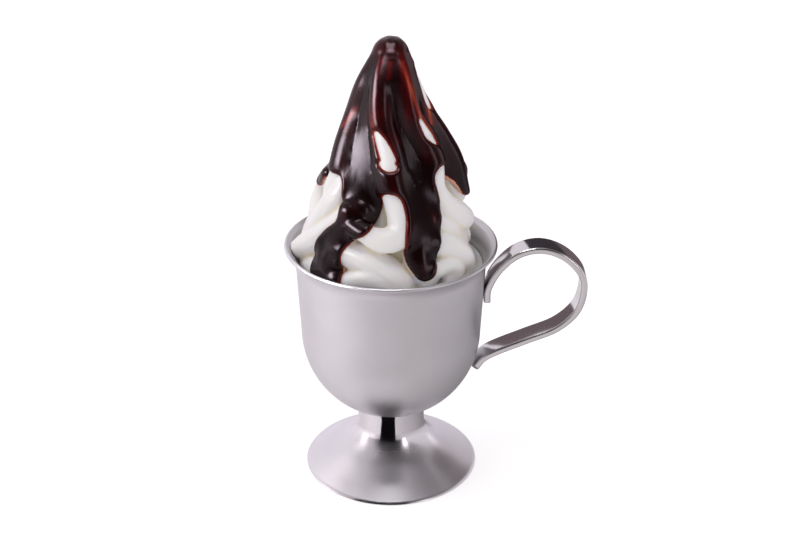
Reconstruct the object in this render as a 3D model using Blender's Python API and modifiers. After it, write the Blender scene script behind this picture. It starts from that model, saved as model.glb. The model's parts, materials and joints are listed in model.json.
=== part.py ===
"""Footed steel cup with a strap handle, heaped with soft serve under chocolate sauce.

Named sizes are in millimetres, and MM turns them into Blender's metres. Angles run round the
cup's axis in degrees from the front (-Y), and grow towards the handle (+X).
"""
import math

import bmesh
import bpy
import numpy as np

MM = 0.001
GAP = 0.3
OBJECT_NAME = "soft_serve_in_steel_cup"

# The spun bowl: an elliptic bottom, a wall that widens a little, and a flared rim
TURN_STEPS = 48
RIM_RADIUS = 41.0
RIM_HEIGHT = 98.6
LIP_DROP = 0.9
BOWL_RADIUS = 35.3
BOWL_DEPTH = 36.0
BOWL_SHOULDER = 61.3
WALL_DRAFT = 0.05
FLARE_START = 91.0
BOWL_WALL = 1.0

# The hollow foot, outer side from the resting edge to the stem: radius, height
FOOT_LINE = [(34.6, 0.8), (29.0, 3.7), (19.5, 9.3), (14.2, 16.0), (13.3, 22.0)]
FOOT_WALL = 1.0
REST_RING = 2.2
STEM_TOP_RADIUS = 13.9

# The strap handle's middle line from its upper tab to its lower tab: distance from the axis, height
HANDLE_REACH = 76.2
HANDLE_WIDTH = 10.0
HANDLE_THICKNESS = 2.6
HANDLE_CORNER = 0.5
HANDLE_LINE = [(37.9, 74.0), (38.2, 80.0), (41.6, 87.6), (48.6, 94.3), (57.6, 96.6), (66.6, 93.5),
               (73.4, 86.4), (74.9, 79.0), (72.4, 69.8), (65.0, 62.3), (53.3, 57.0), (42.4, 52.2),
               (36.4, 48.6), (33.2, 43.8)]

# The handle sticks out on one side only, so the cup stands off the frame's middle
AXIS_X = (RIM_RADIUS - HANDLE_REACH) / 2.0

# How far the heap reaches out: height, radius
HEAP_REACH = [(84, 36.0), (96, 36.0), (105, 34.0), (120, 28.8), (135, 23.4), (142, 20.4),
              (150, 16.6), (160, 13.4), (166, 10.9), (173, 7.4), (178, 4.1), (180.4, 0.0)]
# How deep the body under the folds lies below that reach: height, depth
CORE_DEPTH = [(84, 1.5), (90, 1.5), (98, 7.8), (112, 8.0), (132, 6.0), (160, 4.0), (174, 0.6)]
CORE_STEP = 5.0
TIP_START = 174.0
TIP_TOP = 179.8

# Folds squeezed from the star nozzle: angle, height, roll radius, lift above the heap's reach
FRONT_FOLDS = {
    "ridge_left": [(-66, 177.6, 2.0, 0), (-84, 164, 3.4, 0), (-86, 153, 4.4, 0),
                   (-72, 142, 4.9, 0), (-64, 134, 5.0, 0), (-66, 125, 5.0, 0)],
    "ridge_front": [(-28, 177.9, 2.0, 0), (-27, 168, 2.9, 0), (-17, 155, 3.7, 0.3),
                    (-3, 143, 4.2, 0.5), (2, 133, 4.6, 0.6), (8.5, 122, 5.2, 1.6),
                    (7, 116.5, 5.3, 1.8), (-4, 114.2, 4.8, 1.7), (-18, 115.4, 3.6, 1.0),
                    (-31, 117, 2.6, 0)],
    "ridge_right": [(30, 177.8, 2.0, 0), (39, 168, 3.0, 0), (38, 155, 3.9, 0), (50, 145, 4.4, 0.3),
                    (53, 137, 4.7, 0.4), (46, 128.5, 5.1, 0.4), (54, 121, 6.2, 0.9),
                    (67, 116.5, 6.2, 1.2), (78, 113, 5.2, 0.6)],
    "ridge_far_right": [(76, 177.6, 2.0, 0), (70, 164, 3.4, 0), (78, 153, 4.8, 0),
                        (91, 142.5, 6.0, 1.0), (96, 132, 6.8, 1.8), (90, 121, 5.0, 0)],
    "left_upper": [(-48, 138, 3.0, -1.5), (-52, 129, 5.0, 0.6), (-60, 121.5, 6.0, 1.0),
                   (-74, 110, 5.0, 0.5)],
    "left_over_lip": [(-36, 121, 4.2, 0), (-58, 111, 6.0, 0.8), (-80, 101, 5.4, 2.4),
                      (-90, 96.5, 4.0, 3.4)],
    "left_low": [(-84, 92, 4.5, 0), (-60, 96.5, 5.2, 0), (-38, 96, 5.0, 0)],
    "front_low": [(-34, 113, 5.0, 0), (-16, 109, 6.6, 0.5), (-2, 103, 7.0, 0.5), (6, 98, 6.5, 0)],
    "front_bud": [(-27, 97.5, 4.0, 0), (-13, 100.3, 4.9, 0.6), (0, 97.5, 4.2, 0)],
    "right_middle": [(36, 119, 6.0, -0.5), (50, 114, 7.0, -0.5), (66, 105, 6.0, -3)],
    "right_low": [(26, 112, 5.0, -0.5), (41, 109.5, 6.5, 0.6), (56, 102.5, 6.2, 1.0),
                  (60, 97.5, 5.0, 0.2), (55, 94, 4.2, 0)],
    "right_swirl": [(24, 97.0, 3.2, -0.5), (31, 101.5, 3.7, 0.8), (42, 101.8, 3.7, 1.0),
                    (47, 98, 3.4, 0.9), (39, 96.2, 2.6, 0.2)],
    "right_bump": [(100, 131, 3.4, 0.5), (106, 126.5, 4.6, 2.4), (114, 121, 5.6, 1.4),
                   (128, 114, 5.6, 0)],
    "right_sunk": [(84, 104, 5.0, -5), (105, 100, 6.0, -3.5), (126, 95, 5.5, -2)],
    "under_left_tongue": [(-30, 122, 5.0, -1.5), (-39, 111, 5.5, -0.8), (-47, 103, 6.2, -0.6),
                          (-43, 96, 6.0, -0.6)],
    "under_middle_tongue": [(27, 124, 6.0, -1.5), (23, 114, 6.5, -1.0), (21, 106, 5.6, -0.6),
                            (21.5, 100.5, 4.6, -0.4)],
}
# The back follows the front's rule: two more ridges, and two tiers of slanting folds
BACK_RIDGE_STARTS = (135, 196)
BACK_RIDGE = [(0, 177.6, 2.0, 0), (6, 166, 3.2, 0), (16, 151, 4.6, 0), (30, 134, 5.4, 0.5),
              (38, 127, 5.0, 0.3)]
BACK_TIERS = {122.0: (134, 182, 230), 107.0: (124, 174, 221)}
BACK_FOLD = [(0, 6.0, 4.6, 0), (13, 0.0, 5.9, 0.6), (28, -5.5, 6.2, 0.8), (43, -9.5, 5.0, 0)]
FOLD_TILT = math.radians(20)
FOLD_SIDES = 16
FOLD_STEPS = 8
FOLD_END_TURNS = (0.45, 0.85, 1.2, 1.45)

HEAP_VOXEL = 0.9
HEAP_SMOOTHING = 5
HEAP_TRIANGLES = 3700

# Hem of the sauce round the heap: angle, height
SAUCE_HEM = [(-85, 132), (-55, 132), (0, 130), (50, 135.5), (110, 139), (230, 138), (275, 132)]
# Tongues that run down from the hem: angle, height, half width
SAUCE_TONGUES = {
    "left": [(-30, 134, 7.5), (-27, 127, 8.8), (-26, 121.5, 7.8), (-34, 115, 5.2),
             (-42, 109.5, 5.9), (-46, 103, 7.4), (-43, 97, 7.0)],
    "middle": [(23, 134, 7.5), (26, 123, 7.6), (23, 114, 7.4), (21, 107, 6.2), (21.5, 102, 4.2)],
    "right": [(84, 138, 8.5), (91, 130, 7.0), (90, 123, 5.0)],
    "left_drop": [(-86, 132, 4.0), (-99, 124.5, 3.2), (-104, 121, 2.4)],
    "back_right": [(134, 138, 6.5), (141, 124, 5.6), (140, 114, 5.2)],
    "back_left": [(198, 138, 7.0), (205, 122, 6.2), (203, 109, 5.6)],
    "back_short": [(250, 136, 5.5), (255, 126, 4.6)],
}
# Bare places high on the ridges, where the sauce has run off: angle, height, half width
SAUCE_GAPS = {
    "front": [(-14, 148.4, 1.7), (-7, 145.6, 2.7), (0, 141.6, 2.6), (3, 139.8, 1.9)],
    "right": [(47.5, 151, 0.9), (47.5, 148, 1.9), (48.5, 145.6, 1.4)],
    "far_right": [(78, 166, 1.0), (76, 161, 1.8), (75, 157.5, 1.2)],
    "back": [(208, 148, 1.7), (212, 141.5, 2.3)],
}
SAUCE_BLEND = 5.0
SAUCE_THIN = 0.9
SAUCE_LOW_EXTRA = 1.0
SAUCE_EDGE_WIDTH = 2.2
SAUCE_SINK = 1.6
# How far the sauce may fill a valley: height, depth
SAUCE_FILL = [(100, 9.0), (120, 5.0), (145, 1.5), (175, 0.8)]
SAUCE_DRAPE_PASSES = 320
SAUCE_TRIANGLES = 3300


def at(table, value):
    """Reads a two-column table at a value, straight between its rows."""
    columns = np.array(table, float)
    return np.interp(value, columns[:, 0], columns[:, 1])


def offset_line(line, inset):
    """Moves a turned section inwards, straight out from its own surface."""
    moved = []
    for index, (radius, height) in enumerate(line):
        before = line[max(index - 1, 0)]
        after = line[min(index + 1, len(line) - 1)]
        run, rise = after[0] - before[0], after[1] - before[1]
        size = math.hypot(run, rise)
        moved.append((max(radius - rise / size * inset, 0.0), height + run / size * inset))
    return moved


def smooth_line(points, steps):
    """Runs a Catmull-Rom curve through rows of numbers."""
    rows = [np.array(row, float) for row in points]
    rows = [2 * rows[0] - rows[1], *rows, 2 * rows[-1] - rows[-2]]
    line = []
    for index in range(1, len(rows) - 2):
        a, b, c, d = rows[index - 1:index + 3]
        for t in np.linspace(0, 1, steps, endpoint=False):
            line.append(0.5 * (2 * b + (c - a) * t + (2 * a - 5 * b + 4 * c - d) * t ** 2
                               + (3 * b - 3 * c + d - a) * t ** 3))
    line.append(rows[-2])
    return np.array(line)


def new_collection(name):
    """Makes a collection in the scene."""
    made = bpy.data.collections.new(name)
    bpy.context.scene.collection.children.link(made)
    return made


def new_material(name, colour, metallic, roughness):
    """Makes a Principled material."""
    made = bpy.data.materials.new(name)
    made.use_nodes = True
    shader = made.node_tree.nodes["Principled BSDF"]
    shader.inputs["Base Color"].default_value = (*colour, 1.0)
    shader.inputs["Metallic"].default_value = metallic
    shader.inputs["Roughness"].default_value = roughness
    return made


def place(name, mesh, into, parent):
    """Puts a mesh into a collection as a named object that stands on the cup's axis."""
    item = bpy.data.objects.new(name, mesh)
    into.objects.link(item)
    item.parent = parent
    return item


def clean(mesh):
    """Welds what lies in one place, drops flat scraps and turns all faces outwards."""
    shape = bmesh.new()
    shape.from_mesh(mesh)
    bmesh.ops.remove_doubles(shape, verts=shape.verts, dist=0.000002)
    bmesh.ops.dissolve_degenerate(shape, edges=shape.edges, dist=0.000002)
    bmesh.ops.recalc_face_normals(shape, faces=shape.faces)
    shape.to_mesh(mesh)
    shape.free()
    return mesh


def evaluated(item):
    """Gives an object's mesh with its modifiers, or its curve, worked out."""
    bpy.context.view_layer.update()
    graph = bpy.context.evaluated_depsgraph_get()
    return bpy.data.meshes.new_from_object(item.evaluated_get(graph))


def settle(item):
    """Applies an object's modifiers."""
    mesh = clean(evaluated(item))
    item.modifiers.clear()
    item.data = mesh
    return item


def turned(name, line, into, parent, steps=TURN_STEPS):
    """Turns a section of (radius, height) rows about the cup's axis into a closed solid."""
    mesh = bpy.data.meshes.new(name)
    corners = [(radius * MM, 0.0, height * MM) for radius, height in line]
    edges = [(index, index + 1) for index in range(len(line) - 1)]
    if line[0][0] > 0.0:
        edges.append((len(line) - 1, 0))
    mesh.from_pydata(corners, edges, [])
    item = place(name, mesh, into, parent)
    screw = item.modifiers.new("turn", "SCREW")
    screw.axis = "Z"
    screw.angle = math.radians(360)
    screw.steps = steps
    screw.render_steps = steps
    screw.use_merge_vertices = True
    screw.merge_threshold = 0.00001
    return settle(item)


def swept(name, lines, into, sides, section=None):
    """Sweeps a round or a given section along lines of (x, y, z, size) and gives the mesh."""
    curve = bpy.data.curves.new(name, "CURVE")
    curve.dimensions = "3D"
    curve.twist_mode = "MINIMUM"
    curve.use_fill_caps = True
    curve.bevel_resolution = sides // 4 - 1
    curve.bevel_depth = MM
    if section is not None:
        curve.bevel_mode = "OBJECT"
        curve.bevel_object = section
    for line in lines:
        spline = curve.splines.new("POLY")
        spline.points.add(len(line) - 1)
        for point, (x, y, z, size) in zip(spline.points, line):
            point.co = (x * MM, y * MM, z * MM, 1.0)
            point.radius = size
    item = bpy.data.objects.new(name, curve)
    into.objects.link(item)
    mesh = clean(evaluated(item))
    bpy.data.objects.remove(item)
    return mesh


def boolean(item, tool, operation, solver="EXACT"):
    """Runs one Boolean on an object and applies it."""
    step = item.modifiers.new("boolean", "BOOLEAN")
    step.operation = operation
    step.solver = solver
    step.object = tool
    return settle(item)


def thin_out(item, triangles):
    """Thins a mesh out to about a number of triangles."""
    item.data.calc_loop_triangles()
    step = item.modifiers.new("thin_out", "DECIMATE")
    step.ratio = min(1.0, triangles / len(item.data.loop_triangles))
    step.use_collapse_triangulate = True
    return settle(item)


def dress(item, material, sharp_angle):
    """Gives an object its material and shades it smooth between its sharp edges."""
    item.data.materials.clear()
    item.data.materials.append(material)
    item.data.shade_smooth()
    item.data.set_sharp_from_angle(angle=math.radians(sharp_angle))
    return item


def bowl_side():
    """Gives the bowl's outer side from the middle of its bottom up to under the lip."""
    line = []
    for turn in np.radians(np.arange(0, 91, 15)):
        line.append((BOWL_RADIUS * math.sin(turn), BOWL_SHOULDER - BOWL_DEPTH * math.cos(turn)))
    wall_top = BOWL_RADIUS + (FLARE_START - BOWL_SHOULDER) * WALL_DRAFT
    for part in (0.0, 0.4, 0.72, 1.0):
        line.append((wall_top + (RIM_RADIUS - LIP_DROP / 2 - wall_top) * part ** 2,
                     FLARE_START + (RIM_HEIGHT - LIP_DROP - FLARE_START) * part))
    return line


def hollow_side(inset):
    """Gives the bowl's side moved inwards, still closed at the axis."""
    line = offset_line(bowl_side(), inset)
    return [(0.0, line[0][1]), *line[1:]]


def build_bowl(parts, axis, steel):
    """Makes the spun bowl with its flared and rolled rim."""
    lip = [(RIM_RADIUS, RIM_HEIGHT - 0.65 * LIP_DROP), (RIM_RADIUS - 0.25, RIM_HEIGHT - 0.1),
           (RIM_RADIUS - 0.9, RIM_HEIGHT)]
    section = bowl_side() + lip + hollow_side(BOWL_WALL)[::-1]
    return dress(turned("bowl", section, parts, axis), steel, 35)


def build_foot(parts, axis, steel):
    """Makes the hollow foot, whose stem ends just under the bowl."""
    depth = BOWL_DEPTH * math.sqrt(1.0 - (STEM_TOP_RADIUS / BOWL_RADIUS) ** 2)
    stem_top = BOWL_SHOULDER - depth - GAP - 0.1
    outer = [tuple(row) for row in smooth_line([*FOOT_LINE, (STEM_TOP_RADIUS, stem_top)], 2)]
    inner = offset_line(outer, FOOT_WALL)[2:-1]
    ring = [(FOOT_LINE[0][0] - REST_RING, 0.0), (FOOT_LINE[0][0], 0.0)]
    stem_inside = [(STEM_TOP_RADIUS - FOOT_WALL, stem_top - 0.25)]
    return dress(turned("foot", ring + outer + stem_inside + inner[::-1], parts, axis), steel, 35)


def build_handle(parts, tools, axis, steel):
    """Makes the bent strap handle with both its tabs."""
    half, thick, corner = HANDLE_WIDTH / 2, HANDLE_THICKNESS / 2, HANDLE_CORNER
    quarter = [(thick, half - corner), (thick - corner, half)]
    outline = quarter + [(-x, y) for x, y in quarter[::-1]]
    outline += [(x, -y) for x, y in outline[::-1]]
    flat = bpy.data.curves.new("strap_section", "CURVE")
    flat.dimensions = "2D"
    spline = flat.splines.new("POLY")
    spline.points.add(len(outline) - 1)
    for point, (x, y) in zip(spline.points, outline):
        point.co = (y * MM, x * MM, 0.0, 1.0)
    spline.use_cyclic_u = True
    section = place("strap_section", flat, tools, None)
    line = [(x, 0.0, z, 1.0) for x, z in smooth_line(HANDLE_LINE, 2)]
    mesh = swept("handle", [line], parts, 8, section)
    bpy.data.objects.remove(section)
    return dress(place("handle", mesh, parts, axis), steel, 35)


def core_line():
    """Gives the section of the heap's body, from its rounded tip down to its flat underside."""
    line = []
    for turn in np.radians(np.arange(90, 0, -18)):
        line.append((at(HEAP_REACH, TIP_START) * 0.92 * math.cos(turn),
                     TIP_START + (TIP_TOP - TIP_START) * math.sin(turn)))
    line[0] = (0.0, TIP_TOP)
    bottom = HEAP_REACH[0][0]
    for height in np.arange(TIP_START, bottom - 0.1, -CORE_STEP):
        line.append((at(HEAP_REACH, height) - at(CORE_DEPTH, height), height))
    return [*line, (0.0, bottom)]


def all_folds():
    """Lists the front's own folds and those that the rule puts on the back."""
    folds = list(FRONT_FOLDS.values())
    for start in BACK_RIDGE_STARTS:
        folds.append([(start + turn, *rest) for turn, *rest in BACK_RIDGE])
    for middle, starts in BACK_TIERS.items():
        for start in starts:
            folds.append([(start + turn, middle + rise, *rest) for turn, rise, *rest in BACK_FOLD])
    return folds


def fold_roll(points):
    """Turns one fold into a smooth line of (x, y, z, roll radius) with rounded ends."""
    rows = []
    for angle, height, radius, lift in points:
        reach = at(HEAP_REACH, height) - radius * math.cos(FOLD_TILT) + lift
        turn = math.radians(angle)
        rows.append((reach * math.sin(turn), -reach * math.cos(turn),
                     height - radius * math.sin(FOLD_TILT), radius))
    line = smooth_line(rows, FOLD_STEPS)
    ends = []
    for end, inner in ((0, 1), (-1, -2)):
        away = line[end, :3] - line[inner, :3]
        away *= line[end, 3] / np.linalg.norm(away)
        ends.append([(*(line[end, :3] + away * math.sin(turn)), line[end, 3] * math.cos(turn))
                     for turn in FOLD_END_TURNS])
    return np.vstack([ends[0][::-1], line, ends[1]])


def heap_surface(tools, axis):
    """Fuses the heap's body and all its folds into one smooth closed surface."""
    item = turned("heap", core_line(), tools, axis, 96)
    rolls = swept("folds", [fold_roll(points) for points in all_folds()], tools, FOLD_SIDES)
    shape = bmesh.new()
    shape.from_mesh(item.data)
    shape.from_mesh(rolls)
    shape.to_mesh(item.data)
    shape.free()
    fuse = item.modifiers.new("fuse", "REMESH")
    fuse.mode = "VOXEL"
    fuse.voxel_size = HEAP_VOXEL * MM
    soften = item.modifiers.new("soften", "SMOOTH")
    soften.factor = 0.5
    soften.iterations = HEAP_SMOOTHING
    return settle(item)


def on_reach(angle, height):
    """Gives places on the heap's reach from angles and heights."""
    turn, reach = np.radians(angle), at(HEAP_REACH, height)
    return np.stack([reach * np.sin(turn), -reach * np.cos(turn), height], axis=-1)


def stroke_depth(points, places):
    """Tells how far each place lies inside a stroke of varying half width, below 0 outside."""
    line = smooth_line(points, 8)
    deepest = np.full(len(places), -1000.0)
    for middle, half in zip(on_reach(line[:, 0], line[:, 1]), line[:, 2]):
        deepest = np.maximum(deepest, half - np.linalg.norm(places - middle, axis=1))
    return deepest


def sauce_depth(places):
    """Tells how far each place of the heap lies inside the sauce's edge, below 0 outside."""
    angle = np.degrees(np.arctan2(places[:, 0], -places[:, 1]))
    angle = np.where(angle < SAUCE_HEM[0][0], angle + 360.0, angle)
    flat = on_reach(angle, places[:, 2])
    depth = places[:, 2] - at(SAUCE_HEM, angle)
    for points in SAUCE_TONGUES.values():
        tongue = stroke_depth(points, flat)
        near = np.maximum(SAUCE_BLEND - np.abs(depth - tongue), 0.0) / SAUCE_BLEND
        depth = np.maximum(depth, tongue) + near ** 2 * SAUCE_BLEND / 4
    for points in SAUCE_GAPS.values():
        depth = np.minimum(depth, -stroke_depth(points, flat))
    return depth


def read_surface(mesh):
    """Reads a mesh's vertices in millimetres and its vertex normals."""
    count = len(mesh.vertices) * 3
    places, normals = np.empty(count), np.empty(count)
    mesh.vertices.foreach_get("co", places)
    mesh.vertices.foreach_get("normal", normals)
    return places.reshape(-1, 3) / MM, normals.reshape(-1, 3)


def write_surface(mesh, places):
    """Writes a mesh's vertices from millimetres."""
    mesh.vertices.foreach_set("co", (places * MM).ravel())
    mesh.update()


def drape(mesh, covered):
    """Draws a skin over the covered places, which fills the valleys as far as it may."""
    places, normals = read_surface(mesh)
    ends = np.empty(len(mesh.edges) * 2, int)
    mesh.edges.foreach_get("vertices", ends)
    one, two = ends.reshape(-1, 2).T
    count = len(places)
    links = np.bincount(one, minlength=count) + np.bincount(two, minlength=count)
    limit = at(SAUCE_FILL, places[:, 2])
    skin = places.copy()
    for _ in range(SAUCE_DRAPE_PASSES):
        total = [np.bincount(one, skin[two, side], count) + np.bincount(two, skin[one, side], count)
                 for side in range(3)]
        skin = np.where(covered[:, None], np.stack(total, axis=1) / links[:, None], places)
        lift = ((skin - places) * normals).sum(axis=1)
        skin += normals * (np.clip(lift, 0.0, limit) - lift)[:, None]
    write_surface(mesh, skin)


def sauce_surface(heap, tools, axis):
    """Lifts the heap's surface by the sauce's thickness, and sinks it where no sauce lies."""
    item = place("sauce", heap.data.copy(), tools, axis)
    depth = sauce_depth(read_surface(item.data)[0])
    drape(item.data, depth > 0.3)
    places, normals = read_surface(item.data)
    low = np.clip((150.0 - places[:, 2]) / 50.0, 0.0, 1.0)
    full = SAUCE_THIN + SAUCE_LOW_EXTRA * low
    edge = np.sqrt(1.0 - (1.0 - np.clip(depth / SAUCE_EDGE_WIDTH, 0.0, 1.0)) ** 2)
    sunk = -SAUCE_SINK * np.clip(-depth / 1.2, 0.0, 1.0)
    amount = np.where(depth > 0.0, full * edge, sunk)
    write_surface(item.data, places + normals * amount[:, None])
    soften = item.modifiers.new("soften", "SMOOTH")
    soften.factor = 0.5
    soften.iterations = 2
    return settle(item)


def keep_largest(item):
    """Drops every loose scrap of a mesh and keeps its largest body."""
    shape = bmesh.new()
    shape.from_mesh(item.data)
    left = set(shape.faces)
    bodies = []
    while left:
        found = [left.pop()]
        for face in found:
            for edge in face.edges:
                near = [other for other in edge.link_faces if other in left]
                left.difference_update(near)
                found.extend(near)
        bodies.append(found)
    for body in sorted(bodies, key=len)[:-1]:
        bmesh.ops.delete(shape, geom=body, context="FACES")
    loose = [corner for corner in shape.verts if not corner.link_faces]
    bmesh.ops.delete(shape, geom=loose, context="VERTS")
    shape.to_mesh(item.data)
    shape.free()
    return item


def swollen(item, amount, tools, axis):
    """Copies a mesh and moves its surface outwards."""
    copy = place(item.name + "_clearance", item.data.copy(), tools, axis)
    places, normals = read_surface(copy.data)
    write_surface(copy.data, places + normals * amount)
    return copy


def room_line():
    """Gives the room the food may take up: the bowl's hollow less a gap, and all above the rim."""
    above, wide, high = RIM_HEIGHT + GAP + 0.2, RIM_RADIUS * 1.5, RIM_HEIGHT * 2
    inner = hollow_side(BOWL_WALL + GAP)
    return [*inner, (inner[-1][0], above), (wide, above), (wide, high), (0.0, high)]


def filling_line():
    """Gives the food that the bowl hides, a little larger than the bowl's hollow."""
    bottom = HEAP_REACH[0][0]
    inside = [row for row in hollow_side(BOWL_WALL) if row[1] < bottom]
    return [*inside, (HEAP_REACH[0][1], bottom + 5.5), (30.0, bottom + 8.0), (0.0, bottom + 8.0)]


def build_food(parts, tools, axis, cream, chocolate):
    """Makes the soft serve that fills the bowl, and the coat of sauce on its heap."""
    heap = heap_surface(tools, axis)
    room = turned("room", room_line(), tools, axis)
    filling = turned("filling", filling_line(), tools, axis)

    serve = thin_out(place("soft_serve", heap.data.copy(), parts, axis), HEAP_TRIANGLES)
    boolean(serve, filling, "UNION")
    boolean(serve, room, "INTERSECT")
    dress(keep_largest(serve), cream, 60)

    sauce = thin_out(sauce_surface(heap, tools, axis), SAUCE_TRIANGLES)
    boolean(sauce, room, "INTERSECT")
    boolean(sauce, swollen(serve, GAP, tools, axis), "DIFFERENCE", "MANIFOLD")
    coat = place("chocolate_sauce", keep_largest(sauce).data, parts, axis)
    dress(coat, chocolate, 60)


def main():
    """Builds the cup, the soft serve and the sauce."""
    for item in list(bpy.data.objects):
        bpy.data.objects.remove(item)
    parts = new_collection(OBJECT_NAME)
    tools = new_collection("cutters")
    axis = place("cup_axis", None, parts, None)
    axis.location = (AXIS_X * MM, 0.0, 0.0)
    build_bowl(parts, axis, new_material("bowl_steel", (0.72, 0.70, 0.71), 1.0, 0.32))
    build_foot(parts, axis, new_material("foot_steel", (0.72, 0.70, 0.71), 1.0, 0.28))
    build_handle(parts, tools, axis, new_material("strap_steel", (0.66, 0.64, 0.64), 1.0, 0.14))
    build_food(parts, tools, axis, new_material("soft_serve", (0.90, 0.88, 0.84), 0.0, 0.45),
               new_material("chocolate_sauce", (0.035, 0.012, 0.010), 0.0, 0.12))
    for item in tools.objects:
        item.hide_render = True
        item.display_type = "WIRE"


if __name__ == "__main__":
    main()
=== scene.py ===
"""Looks of a footed steel cup heaped with soft serve under chocolate sauce.

Sizes are in millimetres and MM turns them into metres. Angles run round the cup's axis in
degrees from the front (-Y) and grow towards the handle (+X).
"""

import json
import logging
import math
from collections.abc import Callable, Mapping, Sequence
from dataclasses import dataclass, field
from enum import Enum
from typing import Any

import bmesh
import bpy
import numpy as np
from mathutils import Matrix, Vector
from mathutils.bvhtree import BVHTree

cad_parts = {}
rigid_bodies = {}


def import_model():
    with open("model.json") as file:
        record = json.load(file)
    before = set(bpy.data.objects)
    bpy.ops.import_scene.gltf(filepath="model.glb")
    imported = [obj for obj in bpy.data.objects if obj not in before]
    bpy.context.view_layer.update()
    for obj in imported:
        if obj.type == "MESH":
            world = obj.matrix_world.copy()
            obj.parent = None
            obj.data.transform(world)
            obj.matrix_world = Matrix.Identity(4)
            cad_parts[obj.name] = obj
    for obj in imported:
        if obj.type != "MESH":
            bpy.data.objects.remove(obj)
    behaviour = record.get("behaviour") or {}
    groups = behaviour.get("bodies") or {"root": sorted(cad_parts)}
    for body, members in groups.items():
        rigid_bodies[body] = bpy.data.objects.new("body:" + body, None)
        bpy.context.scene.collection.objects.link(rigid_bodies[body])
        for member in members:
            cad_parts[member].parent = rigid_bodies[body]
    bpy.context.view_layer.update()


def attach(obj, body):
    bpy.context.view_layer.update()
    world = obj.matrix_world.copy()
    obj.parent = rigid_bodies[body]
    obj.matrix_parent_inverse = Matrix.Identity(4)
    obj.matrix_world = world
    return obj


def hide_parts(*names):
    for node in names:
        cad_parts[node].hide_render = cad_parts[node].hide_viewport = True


for leftover in list(bpy.data.objects):
    bpy.data.objects.remove(leftover)
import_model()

LOG = logging.getLogger("soft_serve")
MM = 0.001
# Where the cup's axis stands, as the part is centred with its handle
AXIS_X = -17.6
# Steps round a turned body that no picture shows as it is
HIDDEN_STEPS = 144
# Metres within which points are one
WELD = 0.000001
AXIS_WELD = 0.00001
# The angle in degrees from which an edge stays sharp
STEEL_SHARP = 40.0
FOOD_SHARP = 70.0

Row = tuple[float, ...]
Line = list[Row]
Colour = tuple[float, float, float]


class Cut(Enum):
    """What a Boolean leaves."""

    UNION = "UNION"
    INTERSECT = "INTERSECT"
    DIFFERENCE = "DIFFERENCE"


def at(table: Sequence[Row], value: float | np.ndarray) -> float | np.ndarray:
    """Reads a table of places and readings at a value, straight between its rows."""
    columns = np.array(table, float)
    return np.interp(value, columns[:, 0], columns[:, 1])


def smooth_line(points: Sequence[Row], steps: int) -> np.ndarray:
    """Runs a Catmull-Rom curve through rows of numbers.

    Args:
        points: The rows it goes through.
        steps: How many steps it takes from one row to the next.

    Returns:
        The curve's rows.
    """
    rows = [np.array(row, float) for row in points]
    rows = [2 * rows[0] - rows[1], *rows, 2 * rows[-1] - rows[-2]]
    line = []
    for index in range(1, len(rows) - 2):
        a, b, c, d = rows[index - 1:index + 3]
        for t in np.linspace(0, 1, steps, endpoint=False):
            line.append(0.5 * (2 * b + (c - a) * t + (2 * a - 5 * b + 4 * c - d) * t ** 2
                               + (3 * b - 3 * c + d - a) * t ** 3))
    line.append(rows[-2])
    return np.array(line)


def offset_line(line: Sequence[Row], inset: float) -> Line:
    """Moves a turned section inwards, straight out from its own surface.

    Args:
        line: Rows of radius and height.
        inset: How far it moves.

    Returns:
        The moved rows.
    """
    moved = []
    for index, (radius, height) in enumerate(line):
        before = line[max(index - 1, 0)]
        after = line[min(index + 1, len(line) - 1)]
        run, rise = after[0] - before[0], after[1] - before[1]
        size = math.hypot(run, rise)
        moved.append((max(radius - rise / size * inset, 0.0), height + run / size * inset))
    return moved


def arc(centre: Row, radius: float, start: float, end: float, steps: int) -> Line:
    """Gives the points of a round corner between two angles in degrees."""
    return [(centre[0] + radius * math.cos(turn), centre[1] + radius * math.sin(turn))
            for turn in np.radians(np.linspace(start, end, steps + 1))]


def place(name: str, data: bpy.types.ID) -> bpy.types.Object:
    """Puts a mesh, curve, light or camera into the scene as a named object.

    Args:
        name: The object's name.
        data: What it shows.

    Returns:
        The object.
    """
    item = bpy.data.objects.new(name, data)
    bpy.context.scene.collection.objects.link(item)
    return item


def drop(*items: bpy.types.Object) -> None:
    """Takes helper objects out of the scene."""
    for item in items:
        bpy.data.objects.remove(item)


def clean(mesh: bpy.types.Mesh) -> bpy.types.Mesh:
    """Welds what lies in one place, drops flat scraps and turns all faces outwards.

    Args:
        mesh: The mesh to clean.

    Returns:
        The same mesh.
    """
    shape = bmesh.new()
    shape.from_mesh(mesh)
    bmesh.ops.remove_doubles(shape, verts=shape.verts, dist=WELD)
    bmesh.ops.dissolve_degenerate(shape, edges=shape.edges, dist=WELD)
    bmesh.ops.recalc_face_normals(shape, faces=shape.faces)
    shape.to_mesh(mesh)
    shape.free()
    return mesh


def evaluated(item: bpy.types.Object) -> bpy.types.Mesh:
    """Works out an object's mesh with its modifiers, or its curve's mesh.

    Args:
        item: The object.

    Returns:
        A new mesh.
    """
    bpy.context.view_layer.update()
    graph = bpy.context.evaluated_depsgraph_get()
    return clean(bpy.data.meshes.new_from_object(item.evaluated_get(graph)))


def settle(item: bpy.types.Object) -> bpy.types.Object:
    """Applies an object's modifiers.

    Args:
        item: The object.

    Returns:
        The same object with its final mesh.
    """
    mesh = evaluated(item)
    item.modifiers.clear()
    item.data = mesh
    return item


def modified(item: bpy.types.Object, kind: str, **settings: Any) -> bpy.types.Object:
    """Puts one modifier on an object and applies it.

    Args:
        item: The object.
        kind: The modifier's type.
        settings: The modifier's settings.

    Returns:
        The same object with its final mesh.
    """
    step = item.modifiers.new(kind.lower(), kind)
    for name, value in settings.items():
        setattr(step, name, value)
    return settle(item)


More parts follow.
